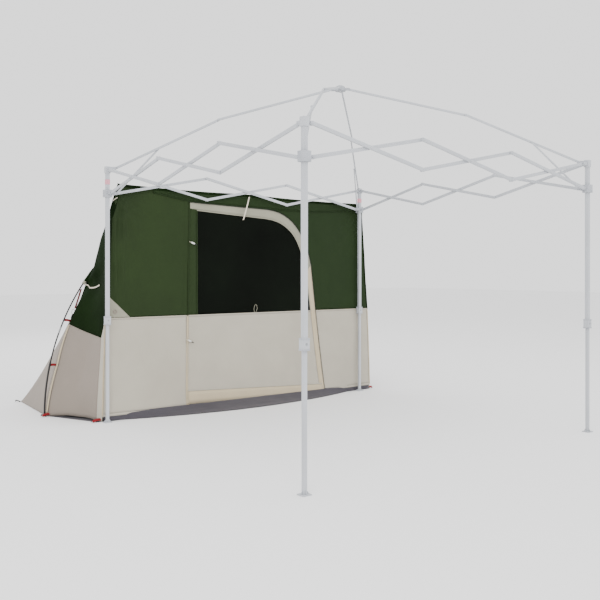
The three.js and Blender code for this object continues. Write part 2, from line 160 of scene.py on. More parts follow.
def bump(material, source, distance, strength, below=None):
    """Relief driven by a texture, on top of the relief below it."""
    nodes, links = material.node_tree.nodes, material.node_tree.links
    node = nodes.new("ShaderNodeBump")
    node.inputs["Distance"].default_value = distance
    node.inputs["Strength"].default_value = strength
    links.new(source.outputs[0], node.inputs["Height"])
    if below:
        links.new(below.outputs["Normal"], node.inputs["Normal"])
    links.new(node.outputs["Normal"], nodes[PRINCIPLED].inputs["Normal"])
    return node


def scaled(color, factor):
    return tuple(min(1.0, channel * factor) for channel in color)


def mottled(name, color, finish, dark, light, **settings):
    """A material whose tone varies slowly between two shades, and its shader."""
    material = new_material(name, color, finish)
    shader = material.node_tree.nodes[PRINCIPLED]
    patches = texture(material, "Noise", **settings)
    tone = ramp(material, patches, scaled(color, dark), scaled(color, light))
    material.node_tree.links.new(tone.outputs["Color"], shader.inputs["Base Color"])
    return material, shader


def weave(material, bands, depth, strength):
    """Threads that run both ways across the cloth, as relief."""
    warp = texture(material, "Wave", bands_direction="X", scale=bands)
    weft = texture(material, "Wave", bands_direction="Z", scale=bands)
    return bump(material, weft, depth, strength, bump(material, warp, depth, strength))


def woven(name, color, roughness=0.72, thread=0.0011, variation=0.12, sheen=0.15, shine=0.2):
    """Coated cloth: a fine weave, slow colour variation and small creases."""
    material, shader = mottled(
        name, color, roughness, 1 - variation, 1 + variation, scale=2.2, detail=5.0, roughness=0.55)
    shader.inputs["Sheen Weight"].default_value = sheen
    shader.inputs["Sheen Roughness"].default_value = 0.5
    shader.inputs["Specular IOR Level"].default_value = shine
    threads = weave(material, 1 / (thread * 20), thread * 0.25, 0.5)
    creases = texture(material, "Noise", scale=9.0, detail=6.0, roughness=0.6)
    bump(material, creases, 0.006, 0.5, threads)
    return material


def netting(name, color):
    """Fine insect mesh seen from some way off, opaque: its near-black colour is the dark netting's own
    and also painted shade of the dark inside behind it.
    """
    material, shader = mottled(name, color, 0.85, 0.6, 1.5, scale=1.6, detail=3.0)
    shader.inputs["Specular IOR Level"].default_value = 0.08
    weave(material, 32.0, 0.0006, 0.8)
    return material


def painted_steel(name, color):
    """Paint with slow tone variation, worn gloss and orange peel."""
    material, shader = mottled(name, color, 0.42, 0.93, 1.04, scale=3.0, detail=4.0)
    marks = texture(material, "Noise", scale=60.0, detail=3.0)
    worn = ramp(material, marks, (0.3, 0.3, 0.3), (0.5, 0.5, 0.5))
    material.node_tree.links.new(worn.outputs["Color"], shader.inputs["Roughness"])
    peel = texture(material, "Noise", scale=700.0, detail=2.0)
    bump(material, peel, 0.0002, 0.35)
    return material


def moulded(name, color, roughness=0.55, grain=900.0):
    material, _ = mottled(name, color, roughness, 0.9, 1.06, scale=14.0, detail=3.0)
    grains = texture(material, "Noise", scale=grain, detail=2.0)
    bump(material, grains, 0.0003, 0.4)
    return material


MATERIALS = {
    "steel": painted_steel("frame_paint", srgb(180, 183, 188)),
    "nylon": moulded("frame_nylon", srgb(168, 171, 177)),
    "button": moulded("button_nylon", srgb(150, 152, 156)),
    "green": woven("green_cloth", srgb(29, 44, 15), sheen=0.0),
    "green_right": woven("green_cloth_right", srgb(22, 39, 9), sheen=0.0),
    # a darker, matte copy of the green cloth for the sides, roof, rear, sleeve and right binding; on
    # the strip under the eave, the wide left binding and the seam shadows it is painted shade
    "green_dark": woven(
        "green_cloth_shade", srgb(16, 30, 10), 0.9, variation=0.35, sheen=0.0, shine=0.05),
    "beige": woven("beige_cloth", srgb(172, 166, 152), variation=0.06),
    "beige_side": woven("beige_cloth_side", srgb(135, 125, 115), variation=0.05),
    "trim": woven("cream_trim", srgb(184, 170, 143), thread=0.0018, variation=0.06),
    "band": woven("grey_band", srgb(140, 138, 122), thread=0.0018, variation=0.12),
    # opaque and near-black: the netting's own dark colour together with painted shade of the tent's
    # inside seen through it
    "mesh": netting("insect_mesh", srgb(6, 10, 5)),
    "floor_cloth": woven("ground_cloth", srgb(66, 63, 69), thread=0.003, variation=0.1),
    "red_dark": woven("dark_red_webbing", srgb(92, 12, 18), thread=0.0016, variation=0.1),
    "red": woven("red_webbing", srgb(128, 10, 20), thread=0.0016, variation=0.1),
    "pink": woven("faded_webbing", srgb(214, 150, 162), thread=0.0016, variation=0.05),
    "cream_cord": woven("cream_cord", srgb(212, 203, 184), thread=0.0016, variation=0.05),
    "rod": moulded("black_rod", srgb(12, 12, 15), 0.5, 400.0),
    "toggle_white": moulded("white_plastic", srgb(225, 225, 220), 0.5),
    "black": moulded("black_plastic", srgb(24, 24, 26), 0.45),
    "ferrule": new_material("steel_ferrule", srgb(150, 152, 155), 0.3, 0.9),
}

# ---- Mesh helpers ----


def into_scene(name, data):
    obj = bpy.data.objects.new(name, data)
    bpy.context.scene.collection.objects.link(obj)
    return obj


def new_object(name, mesh, material):
    mesh.materials.append(MATERIALS[material])
    return into_scene(name, mesh)


def mesh_object(name, vertices, faces, material, smooth=True):
    mesh = bpy.data.meshes.new(name)
    mesh.from_pydata([tuple(vertex) for vertex in vertices], [], faces)
    if smooth:
        mesh.polygons.foreach_set("use_smooth", [True] * len(mesh.polygons))
    mesh.update()
    return new_object(name, mesh, material)


def thicken(obj, thickness):
    """Gives a surface its thickness, half of it to each side."""
    modifier = obj.modifiers.new("thickness", "SOLIDIFY")
    modifier.thickness = thickness
    modifier.offset = 0.0
    return obj


def soften(obj, width):
    """Rounds the sharp edges of a piece."""
    modifier = obj.modifiers.new("soft_edges", "BEVEL")
    modifier.width = width
    modifier.segments = 2
    modifier.limit_method = "ANGLE"
    modifier.angle_limit = radians(35)
    modifier.harden_normals = True
    obj.data.polygons.foreach_set("use_smooth", [True] * len(obj.data.polygons))
    return obj


def apply_modifiers(obj):
    """Bakes the modifiers into the mesh."""
    depsgraph = bpy.context.evaluated_depsgraph_get()
    mesh = bpy.data.meshes.new_from_object(obj.evaluated_get(depsgraph))
    obj.modifiers.clear()
    obj.data = mesh
    return obj


def resample(points, step):
    """Points along a closed outline, no further apart than step."""
    result = []
    for i, start in enumerate(points):
        end = points[(i + 1) % len(points)]
        run = Vector((end[0] - start[0], end[1] - start[1]))
        count = max(1, ceil(run.length / step))
        for k in range(count):
            result.append((start[0] + run.x * k / count, start[1] + run.y * k / count))
    return result


def inside(point, outline):
    x, z = point
    hit = False
    for (x1, z1), (x2, z2) in zip(outline, outline[1:] + outline[:1]):
        if (z1 > z) != (z2 > z) and x < (x2 - x1) * (z - z1) / (z2 - z1) + x1:
            hit = not hit
    return hit


def near(point, outline, distance):
    return any((point[0] - x) ** 2 + (point[1] - z) ** 2 < distance ** 2 for x, z in outline)


def flat_cloth(outline, step):
    """An outline in x and z filled with an even net of triangles."""
    border = resample(outline, step)
    points = [Vector(p) for p in border]
    edges = [(i, (i + 1) % len(border)) for i in range(len(border))]
    low_x, high_x = min(p[0] for p in border), max(p[0] for p in border)
    low_z, high_z = min(p[1] for p in border), max(p[1] for p in border)
    rows = int((high_z - low_z) / step) + 1
    columns = int((high_x - low_x) / step) + 1
    for i in range(rows):
        for j in range(columns):
            shift = 0.5 * step * (i % 2)
            spot = (low_x + (j + 0.5) * step + shift - step / 2, low_z + (i + 0.5) * step)
            if inside(spot, outline) and not near(spot, border, step * 0.55):
                points.append(Vector(spot))
    made = delaunay_2d_cdt(points, edges, [], 2, 1e-6)
    return made[0], made[2]


def cloth_panel(name, outline, material, lift=0.0, step=0.025):
    """A panel of the front wall or of its door."""
    points, faces = flat_cloth(outline, step)
    vertices = [wall_point(p.x, p.y, lift) for p in points]
    normals_out = [tuple(reversed(face)) for face in faces]
    return thicken(mesh_object(name, vertices, normals_out, material), 0.0012)


def net_faces(columns, rows):
    """The faces between points that were made column by column."""
    return [
        (corner, corner + 1, corner + rows + 2, corner + rows + 1)
        for i in range(columns) for corner in range(i * (rows + 1), i * (rows + 1) + rows)
    ]


def strip(name, left, right, material, thickness=0.0016, rows=1):
    """A ribbon between two lists of points, closed and thick."""
    vertices = [a.lerp(b, k / rows) for a, b in zip(left, right) for k in range(rows + 1)]
    faces = net_faces(len(left) - 1, rows)
    return thicken(mesh_object(name, vertices, faces, material), thickness)


def ribbon(name, path, across, width, material, thickness=0.0016):
    """A flat strap along a path; across is the direction of its width."""
    side = Vector(across).normalized() * (width / 2)
    return strip(name, [p - side for p in path], [p + side for p in path], material, thickness)


def tube(name, path, radius, material, sides=10, closed=False):
    """A round rod or cord swept along a path, with capped ends."""
    vertices, faces = [], []
    count = len(path)
    normal = None
    for i, point in enumerate(path):
        ahead = path[(i + 1) % count] if closed or i + 1 < count else point
        behind = path[i - 1] if closed or i > 0 else point
        along = (ahead - behind).normalized()
        if normal is None:
            normal = along.orthogonal().normalized()
        normal = (normal - along * normal.dot(along)).normalized()
        other = along.cross(normal)
        size = radius(i / max(1, count - 1)) if callable(radius) else radius
        for k in range(sides):
            angle = 2 * pi * k / sides
            vertices.append(point + (normal * cos(angle) + other * sin(angle)) * size)
    rings = count if closed else count - 1
    for i in range(rings):
        for k in range(sides):
            a, b = i * sides + k, i * sides + (k + 1) % sides
            c, d = ((i + 1) % count) * sides + (k + 1) % sides, ((i + 1) % count) * sides + k
            faces.append((a, b, c, d))
    if not closed:
        faces.append(tuple(reversed(range(sides))))
        faces.append(tuple((count - 1) * sides + k for k in range(sides)))
    return mesh_object(name, vertices, faces, material)


def smooth_path(points, steps=8):
    """A Catmull-Rom curve through the points."""
    points = [Vector(p) for p in points]
    padded = [points[0] * 2 - points[1], *points, points[-1] * 2 - points[-2]]
    path = []
    for i in range(1, len(padded) - 2):
        a, b, c, d = padded[i - 1:i + 3]
        for k in range(steps):
            t = k / steps
            path.append(0.5 * (
                2 * b + (c - a) * t + (2 * a - 5 * b + 4 * c - d) * t ** 2
                + (3 * b - a - 3 * c + d) * t ** 3
            ))
    path.append(points[-1])
    return path


def cubic(a, b, c, d, steps=14):
    """Points of a Bezier curve in the wall's plane."""
    result = []
    for k in range(steps + 1):
        t = k / steps
        s = 1 - t
        result.append(tuple(
            s ** 3 * a[n] + 3 * s * s * t * b[n] + 3 * s * t * t * c[n] + t ** 3 * d[n]
            for n in range(2)
        ))
    return result


def join_pieces(name, pieces):
    """One object from several, with their modifiers applied and materials kept."""
    for piece in pieces:
        apply_modifiers(piece)
    with bpy.context.temp_override(
        active_object=pieces[0], selected_editable_objects=pieces, selected_objects=pieces
    ):
        bpy.ops.object.join()
    pieces[0].name = name
    return pieces[0]


def soft(obj, body=ROOT):
    """A piece of the tent: its modifiers are applied and it hangs from a body's empty, by default that
    of the tent and leg A.
    """
    apply_modifiers(obj)
    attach(obj, body)
    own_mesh(obj)
    return obj


# ---- Camera, light and floor ----


def make_camera():
    """A camera 1.3 m up, off the front left corner of the frame."""
    data = bpy.data.cameras.new("camera")
    data.lens = 47.33
    data.sensor_width = 36
    data.shift_x = -0.075
    data.shift_y = -0.0482
    camera = into_scene("camera", data)
    camera.location = LEG["b"] + Vector((-2.797, -3.787, 0))
    camera.location.z = 1.335
    camera.rotation_euler = (radians(90), 0, -0.6876)
    bpy.context.scene.camera = camera


def make_light(name, place, size, energy):
    """A soft white light that faces the middle of the floor."""
    data = bpy.data.lights.new(name, "AREA")
    data.energy = energy
    data.size = size
    light = into_scene(name, data)
    light.location = place
    light.rotation_euler = (-Vector(place)).to_track_quat("-Z", "Y").to_euler()


def make_stage():
    world = bpy.data.worlds.new("studio")
    world.use_nodes = True
    world.node_tree.nodes["Background"].inputs["Color"].default_value = (1, 1, 1, 1)
    world.node_tree.nodes["Background"].inputs["Strength"].default_value = 1.7
    bpy.context.scene.world = world
    make_light("key", (-6, -7, 7), 6, 520)
    make_light("fill", (6, -6, 6), 7, 180)
    make_light("back", (0, 8, 7), 6, 200)
    bpy.ops.mesh.primitive_plane_add(size=80, location=(0, 0, 0))
    floor = bpy.context.object
    floor.name = "studio_floor"
    floor.data.materials.append(new_material("studio_floor", (0.92, 0.92, 0.92), 0.9))


make_camera()
make_stage()

# ---- Frame ----


def refine(node, material, width=0.0012):
    """A copy of a CAD node with soft edges, which stands for it."""
    source = frame["nodes"][node]
    mesh = source.data.copy()
    mesh.materials.clear()
    obj = new_object(f"{node}_finished", mesh, material)
    work = bmesh.new()
    work.from_mesh(mesh)
    bmesh.ops.remove_doubles(work, verts=work.verts, dist=1e-5)
    bmesh.ops.dissolve_limit(
        work, angle_limit=radians(1), verts=work.verts, edges=work.edges
    )
    work.to_mesh(mesh)
    work.free()
    soften(obj, width)
    body = next(b for b, nodes in frame["record"]["behaviour"]["bodies"].items() if node in nodes)
    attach(obj, body)
    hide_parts(node)


def finish_frame():
    """Stands a finished copy in for every rigid CAD node of the frame."""
    for node in frame["nodes"]:
        if node.endswith("lock_button"):
            refine(node, "button", 0.0008)
        elif node.startswith(("truss", "rafter", "strut", "leg")):
            refine(node, "steel")
        elif node.startswith("slider") or node == "roof_hub":
            refine(node, "nylon", 0.0025)


finish_frame()

# ---- Front wall ----

SEAM_Z = 0.91    # the level seam between green and beige
HEM_Z = 0.055
LEFT_EDGE = [(-0.03, HEM_Z), (-0.004, SEAM_Z), (0.02, 1.80), (0.118, 2.117)]
RIGHT_EDGE = [
    (SPAN + 0.186, HEM_Z), (SPAN + 0.145, SEAM_Z), (SPAN + 0.060, 2.052), (SPAN + 0.015, 2.087),
]
TOP_MIDDLE = (HALF, 2.105)
JAMB_FOOT = (0.79, HEM_Z)
JAMB_SEAM = (0.807, SEAM_Z)
ZIP_SEAM = (2.333, SEAM_Z)    # where the door's free edge crosses the level seam


def d_curve(left, top, turn, right):
    """The top and the round shoulder of the door or its window."""
    round_part = cubic(
        turn, (turn[0] + 0.36, turn[1] - 0.024), (right[0] - 0.06, right[1] + 0.24), right
    )
    return [(left, top), *round_part]


DOOR_TOP = d_curve(0.825, 1.991, (1.72, 1.964), (2.27, 1.40))
WINDOW_TOP = d_curve(0.905, 1.922, (1.70, 1.871), (2.204, 1.326))
DOOR_FOOT = (2.446, 0.035)
BAND_FOOT = (2.382, 0.045)
WINDOW_FOOT = (2.268, SEAM_Z)
HINGE_SEAM = (0.812, SEAM_Z)    # where the door's hinged edge crosses the level seam
EAVE_CORNER = {"x": 0.05, "z": 2.05}    # where creases fan out, beside each top corner


def front_relief(x, z):
    """How far the front wall stands out from its plane."""
    folds = 0.020 * ridge(x - 0.10 - 0.02 * sin(3 * z), 0.016)
    folds += 0.012 * ridge(x - 0.165 + 0.015 * sin(2 * z), 0.020)
    folds += 0.010 * rough(x * 22, z * 6, 9.4) * ridge(x - 0.12, 0.09)
    folds *= clamp((z - 0.9) / 0.4) * clamp((2.1 - z) / 0.2)
    strip_folds = 0.008 * ridge(x - 0.80, 0.013) + 0.007 * ridge(x - 0.865, 0.011)
    slow = 0.010 * rough(x * 1.6, z * 1.3, 1.7)
    creases = 0.003 * rough(x * 9 + z * 4, z * 5 - x * 3, 5.1)
    corner = 0.0
    for corner_x in (EAVE_CORNER["x"], SPAN + EAVE_CORNER["x"]):
        away = hypot(x - corner_x, z - EAVE_CORNER["z"])
        turn = atan2(EAVE_CORNER["z"] - z, abs(x - corner_x) + 1e-6)
        corner += 0.006 * sin(turn * 22) * exp(-away / 0.35) * min(1, away / 0.08)
    foot = max(0.0, 1 - z / 0.35) ** 2 * 0.05 * hump(clamp(x / SPAN))
    return folds + strip_folds + slow + creases + corner + foot


def wall_top(x):
    """Height of the eave over the wall at x."""
    corner = LEFT_EDGE[-1] if x < HALF else RIGHT_EDGE[-1]
    share = min(1, abs(x - HALF) / abs(corner[0] - HALF))
    level = TOP_MIDDLE[1] + (corner[1] - TOP_MIDDLE[1]) * share
    return level - 0.012 * hump(share)


def wall_point(x, z, lift=0.0):
    return at(x, -lift - front_relief(x, z), z)


def top_line(start, end, steps=20):
    """The eave from one x to another."""
    xs = [start + (end - start) * k / steps for k in range(steps + 1)]
    return [(x, wall_top(x)) for x in xs]


def along(points, count):
    """Evenly spaced points on a line of points in the wall's plane."""
    lengths = [dist(a, b) for a, b in zip(points, points[1:])]
    total = sum(lengths)
    result = []
    for k in range(count + 1):
        rest = total * k / count
        i = 0
        while i < len(lengths) - 1 and rest > lengths[i]:
            rest -= lengths[i]
            i += 1
        share = min(1.0, rest / lengths[i])
        (x1, z1), (x2, z2) = points[i], points[i + 1]
        result.append((x1 + (x2 - x1) * share, z1 + (z2 - z1) * share))
    return result


def between(name, outer, inner, material, lift, count, rows=3):
    """Cloth sewn between two lines on the wall."""
    first = [wall_point(x, z, lift) for x, z in along(outer, count)]
    last = [wall_point(x, z, lift) for x, z in along(inner, count)]
    return strip(name, first, last, material, 0.0014, rows)


def tape(name, line, width, material, lift=0.003, count=60):
    """A narrow tape sewn along a line on the wall, also used for strips of painted shade."""
    spots = along(line, count)
    left, right = [], []
    for k, (x, z) in enumerate(spots):
        ahead, behind = spots[min(k + 1, count)], spots[max(k - 1, 0)]
        run = Vector((ahead[0] - behind[0], ahead[1] - behind[1])).normalized()
        side = Vector((-run.y, run.x)) * width / 2
        left.append(wall_point(x + side.x, z + side.y, lift))
        right.append(wall_point(x - side.x, z - side.y, lift))
    return strip(name, left, right, material, 0.0012)


def beside(start, end, half):
    """A function for points on the wall, set out along a short run and across it."""
    run = Vector((end[0] - start[0], end[1] - start[1])).normalized()
    side = Vector((-run.y, run.x)) * half

    def spot(step, turn, lift):
        return wall_point(
            start[0] + run.x * step + side.x * turn, start[1] + run.y * step + side.y * turn, lift)
    return spot


def stitches(name, line, material, lift=0.0045, pitch=0.012, length=0.007):
    """A row of short thread stitches along a line on the wall."""
    total = sum(dist(a, b) for a, b in zip(line, line[1:]))
    spots = along(line, int(total / pitch))
    vertices, faces = [], []
    for start, end in zip(spots, spots[1:]):
        place = beside(start, end, 0.0007)
        base = len(vertices)
        for step, turn in ((0, 1), (0, -1), (length, -1), (length, 1)):
            vertices.append(place(step, turn, lift))
        vertices.append(place(length * 0.5, 0, lift + 0.0009))
        a, b, c, d, top = range(base, base + 5)
        faces += [(a, b, c, d), (b, a, top), (c, b, top), (d, c, top), (a, d, top)]
    return mesh_object(name, vertices, faces, material)


LARGEST_FILL = 0.98    # most of its flat rectangle that a sheet's area may fill
SMALLEST_FILL = 0.32


def sewn(obj, body=ROOT):
    """A cloth piece of the tent, with a sheet's area and rectangle worked out from its own shape.

    The area is half of the closed surface, and the rectangle the two longest sides of the box.
    The rectangle's shorter side is changed where the area would fill too much or too little of it.
    """
    soft(obj, body)
    bpy.context.view_layer.update()
    width, length = sorted(obj.dimensions, reverse=True)[:2]
    area = sum(polygon.area for polygon in obj.data.polygons) / 2
    length = min(max(length, area / (LARGEST_FILL * width)), area / (SMALLEST_FILL * width))
    return obj


def front_wall():
    left_green = [
        *LEFT_EDGE[1:-1], *top_line(LEFT_EDGE[-1][0], DOOR_TOP[0][0]), DOOR_TOP[0], JAMB_SEAM,
    ]
    left_beige = [*LEFT_EDGE[:2], JAMB_SEAM, JAMB_FOOT]
    right_green = [
        DOOR_TOP[0], *top_line(DOOR_TOP[0][0], SPAN + 0.01), *reversed(RIGHT_EDGE[1:-1]),
        ZIP_SEAM, *reversed(DOOR_TOP[1:]),
    ]
    right_beige = [ZIP_SEAM, RIGHT_EDGE[1], RIGHT_EDGE[0], (DOOR_FOOT[0], HEM_Z)]
    return [
        cloth_panel("front_left_green", left_green, "green", step=0.014),
        cloth_panel("front_left_beige", left_beige, "beige"),
        cloth_panel("front_right_green", right_green, "green_right"),
        cloth_panel("front_right_beige", right_beige, "beige"),
    ]


def shifted(line, rise):
    return [(x, z + rise) for x, z in line]


EAVE_LINE = [
    (0.45, 2.06), (0.83, 1.998), (1.30, 1.985), (1.75, 1.972), (2.30, 1.965), (2.978, 2.012),
]
EAVE_END = SPAN + 0.012    # x where the eave ends on the right


def wall_trim():
    """The eave band, the seams and the hem of the front wall, with dark strips of painted shade under
    the eave, over the left edge and along the level seams.
    """
    first, last = EAVE_LINE[0][0], EAVE_LINE[-1][0]
    eave = [(first, wall_top(first)), *top_line(0.46, EAVE_END), (last, 2.050)]
    eave_shadow_line = shifted(top_line(LEFT_EDGE[-1][0], EAVE_END), -0.011)
    level = [LEFT_EDGE[1], JAMB_SEAM]
    level_right = [ZIP_SEAM, RIGHT_EDGE[1]]
    left_high = [(x + 0.014, z) for x, z in LEFT_EDGE[1:]]
    return [
        between("eave_band", eave, EAVE_LINE, "green_right", 0.004, 90, 4),
        tape("eave_binding", EAVE_LINE, 0.011, "green_right", 0.0065, 90),
        # painted shadow: a dark green strip just under the eave stands for the shade of the roof behind
        # it
        tape("eave_painted_shadow", eave_shadow_line, 0.024, "green_dark", 0.0065, 90),
        tape("left_level_seam", level, 0.014, "beige", 0.003, 30),
        tape("right_level_seam", level_right, 0.014, "beige", 0.003, 30),
        tape("left_hem", [LEFT_EDGE[0], JAMB_FOOT], 0.022, "beige", 0.003, 30),
        tape("right_hem", [(DOOR_FOOT[0], HEM_Z), RIGHT_EDGE[0]], 0.022, "beige", 0.003, 30),
        tape("left_low_binding", LEFT_EDGE[:2], 0.014, "trim", 0.003, 40),
        # a dark green binding down the left edge, made wide and set in from it so that it also paints
        # the shade of the fold beside the leg
        tape("left_binding_and_painted_shade", left_high, 0.044, "green_dark"),
        tape("right_low_binding", RIGHT_EDGE[:2], 0.014, "trim", 0.003, 40),
        tape("right_high_binding", RIGHT_EDGE[1:], 0.016, "green_dark"),
        tape("left_seam_shadow", shifted(level, 0.008), 0.012, "green_dark", 0.002, 30),
        tape("right_seam_shadow", shifted(level_right, 0.008), 0.012, "green_dark", 0.002, 30),
        tape("door_jamb_low", [(0.790, 0.07), JAMB_SEAM], 0.024, "trim", 0.0035, 40),
        tape("door_jamb_high", [JAMB_SEAM, DOOR_TOP[0]], 0.014, "green", 0.0035, 50),
    ]


def wall_stitching():
    thread_z = SEAM_Z + 0.004
    return [
        stitches("eave_stitches", EAVE_LINE, "green", 0.0085),
        stitches("left_seam_stitches", [(0.012, thread_z), (0.80, thread_z)], "trim"),
        stitches("right_seam_stitches", [(2.34, thread_z), (3.03, thread_z)], "trim"),
        stitches("jamb_stitches", [(0.793, 0.08), (0.810, SEAM_Z)], "beige", 0.0055),
    ]


def zip_teeth():
    """The coil of the door's zip, round its free edge."""
    line = [*DOOR_TOP, DOOR_FOOT]
    spots = along(line, 420)
    vertices, faces = [], []
    for start, end in zip(spots, spots[1:]):
        place = beside(start, end, 0.0032)
        base = len(vertices)
        for step, turn in ((0, 1), (0, -1), (0.0045, -1), (0.0045, 1)):
            vertices += [place(step, turn, lift) for lift in (0.0045, 0.0068)]
        a, A, b, B, c, C, d, D = range(base, base + 8)
        faces += [(a, b, c, d), (A, D, C, B), (a, A, B, b), (b, B, C, c), (c, C, D, d), (d, D, A, a)]
    return mesh_object("door_zip_coil", vertices, faces, "black", smooth=False)


WALL_PIECES = front_wall()
for piece in WALL_PIECES + wall_trim():
    sewn(piece)
for piece in wall_stitching() + [zip_teeth()]:
    soft(piece)
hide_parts("front_wall")

# ---- Door ----


def door_pieces():
    """The strip beside the hinge, the mesh window and the lower panel."""
    strip_outline = [HINGE_SEAM, (0.826, 1.945), (0.909, 1.935), (0.912, SEAM_Z)]
    mesh_outline = [(0.910, SEAM_Z), *WINDOW_TOP, WINDOW_FOOT]
    lower = [(0.796, 0.075), HINGE_SEAM, WINDOW_FOOT, BAND_FOOT]
    return [
        cloth_panel("door_strip", strip_outline, "green", 0.001),
        cloth_panel("door_mesh", mesh_outline, "mesh", -0.001),
        cloth_panel("door_lower", lower, "beige", 0.001),
    ]


def door_trim():
    """The bands round the window and along the foot of the door, with their seams."""
    top_inner = [(0.826, 1.930), *WINDOW_TOP[1:]]
    window_edge = [(0.905, 1.918), *WINDOW_TOP[1:], WINDOW_FOOT]
    side_outer = [DOOR_TOP[-1], DOOR_FOOT]
    side_inner = [WINDOW_TOP[-1], WINDOW_FOOT, BAND_FOOT]
    foot_top = [(0.795, 0.200), (2.405, 0.125)]
    foot_low = [(0.794, 0.075), (2.430, 0.036)]
    return [
        between("door_band_top", DOOR_TOP, top_inner, "band", 0.0025, 90),
        between("door_band_side", side_outer, side_inner, "trim", 0.0025, 50),
        between("door_foot_band", foot_top, foot_low, "trim", 0.0035, 50),
        tape("door_foot_seam", foot_top, 0.010, "beige", 0.0055, 50),
        tape("door_level_seam", [HINGE_SEAM, WINDOW_FOOT], 0.014, "beige", 0.0045, 50),
        tape("window_binding", window_edge, 0.010, "band", 0.0045, 110),
        tape("strip_binding", [(0.911, SEAM_Z), (0.908, 1.918)], 0.010, "green", 0.0035, 40),
    ]


DOOR_PIECES = door_pieces()
for piece, slot in zip(DOOR_PIECES, ("door_fabric", "window_mesh", "door_fabric")):
    sewn(piece, body="door")
for piece in door_trim():
    sewn(piece, body="door")
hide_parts("door_panel")
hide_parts("door_window_mesh")

# ---- Roof, sides and rear ----


FOOT_Z = 0.002    # where the sides and the rear are sewn to the ground sheet
FLARE = {"reach": 0.053, "height": 0.47}    # how the cloth widens towards the pole's foot
ROOF_START = 0.25    # share of the way round the canopy at which a side turns into the roof
EAVE_TURN = 0.08    # share of the front edge's half roof that climbs round its corner
MIDDLE_Z = 0.9    # height in the middle of the tent towards which its sides sag


def arch(angle, half, height, y):
    """A point on a half ellipse that stands across the tent."""
    return at(HALF - half * cos(angle), y, height * sin(angle))


def front_rim(share):
    """The front edge of the canopy, from the left foot over the eave to the right foot."""
    right = share > 0.5
    share = min(share, 1 - share)
    edge = RIGHT_EDGE if right else LEFT_EDGE
    foot, head, eave = ((SPAN - x if right else x) for x in (edge[0][0], edge[2][0], edge[3][0]))
    head_z, eave_z = edge[2][1], edge[3][1]
    climb = share / ROOF_START
    if climb <= 1:
        x, z = foot + (head - foot) * climb, FOOT_Z + (head_z - FOOT_Z) * climb
    else:
        across = climb - 1
        if across < EAVE_TURN:
            t = across / EAVE_TURN
            x, z = head + (eave - head) * t, head_z + (eave_z - head_z) * t
        else:
            x = eave + (HALF - eave) * (across - EAVE_TURN) / (1 - EAVE_TURN)
            z = wall_top(SPAN - x if right else x)
    return (SPAN - x if right else x), 0.004, z


def hoop_angle(share):
    """The place on the hoop that a place on the front edge is sewn towards."""
    if share > 0.5:
        return pi - hoop_angle(1 - share)
    climb = share / ROOF_START
    if climb <= 1:
        return SHOULDER * climb
    return SHOULDER + (pi / 2 - SHOULDER) * (share - ROOF_START) / ROOF_START


def hoop_edge(angle, y):
    """The cloth's edge at the hoop, which meets the pole where the sleeve starts."""
    reach = clamp((min(angle, pi - angle) - SLEEVE_START) / SLEEVE_TURN)
    half = CLOTH_HOOP["half"] + (HOOP["half"] - 0.012 - CLOTH_HOOP["half"]) * reach
    height = CLOTH_HOOP["height"] + (HOOP["height"] - 0.01 - CLOTH_HOOP["height"]) * reach
    flare = FLARE["reach"] * max(0.0, 1 - height * sin(angle) / FLARE["height"])
    return arch(angle, half + flare, height, y)


def skin_point(share, depth):
    """A point of the canopy between the front edge and the hoop."""
    front = at(*front_rim(share))
    point = front.lerp(hoop_edge(hoop_angle(share), HOOP["y"]), depth)
    inward = Vector((HALF + LEG["b"].x, point.y, MIDDLE_Z)) - point
    inward.y = 0
    inward.normalize()
    bend = hump(depth)
    sag = 0.045 * bend
    rumple = 0.008 * rough(share * 24, depth * 4, 2.3)
    rumple += 0.012 * rough(share * 9 + depth * 2, depth * 2, 7.3)
    swell = 0.085 * ridge(min(share, 1 - share) - 0.240, 0.030)
    return point + inward * (sag + (rumple - swell) * bend)


def grid_piece(name, surface, start, end, low, high, columns, rows, material):
    """Part of a surface given by two parameters, as its own cloth."""
    vertices = []
    for i in range(columns + 1):
        u = start + (end - start) * i / columns
        bottom = low(u) if callable(low) else low
        top = high(u) if callable(high) else high
        vertices += [surface(u, bottom + (top - bottom) * k / rows) for k in range(rows + 1)]
    return thicken(mesh_object(name, vertices, net_faces(columns, rows), material), 0.0012)


CORNER_PANEL = 0.12    # depth of the pale panel beside the front wall
SIDE_SEAM = {"front": 0.1253, "panel": 0.1035, "hoop": 0.135}    # shares of the way round


def side_seam(depth):
    """Where a side turns from beige to green, as a share of the way round the canopy."""
    if depth < CORNER_PANEL:
        return SIDE_SEAM["front"] + (SIDE_SEAM["panel"] - SIDE_SEAM["front"]) * depth / CORNER_PANEL
    share = (depth - CORNER_PANEL) / (1 - CORNER_PANEL)
    run = (SIDE_SEAM["hoop"] - SIDE_SEAM["panel"]) * share
    return SIDE_SEAM["panel"] + run - 0.004 * hump(share)


def canopy_pieces():
    """The beige and green panels of both sides, and the roof."""
    pieces = []
    for name, mirror in (("left", False), ("right", True)):
        def side(depth, share, mirror=mirror):
            return skin_point(1 - share if mirror else share, depth)
        pieces += [
            grid_piece(f"{name}_corner_panel", side, 0.0, CORNER_PANEL, 0.0, side_seam, 5, 24, "beige"),
            grid_piece(
                f"{name}_side_beige", side, CORNER_PANEL, 1.0, 0.0, side_seam, 22, 24, "beige_side"),
            grid_piece(
                f"{name}_side_green", side, 0.0, 1.0, side_seam, ROOF_START, 26, 30, "green_dark"),
        ]
    pieces.append(grid_piece(
        "roof_green", skin_point, ROOF_START, 1 - ROOF_START, 0.0, 1.0, 110, 28, "green_dark"))
    return pieces


BINDING_TOP = 0.83


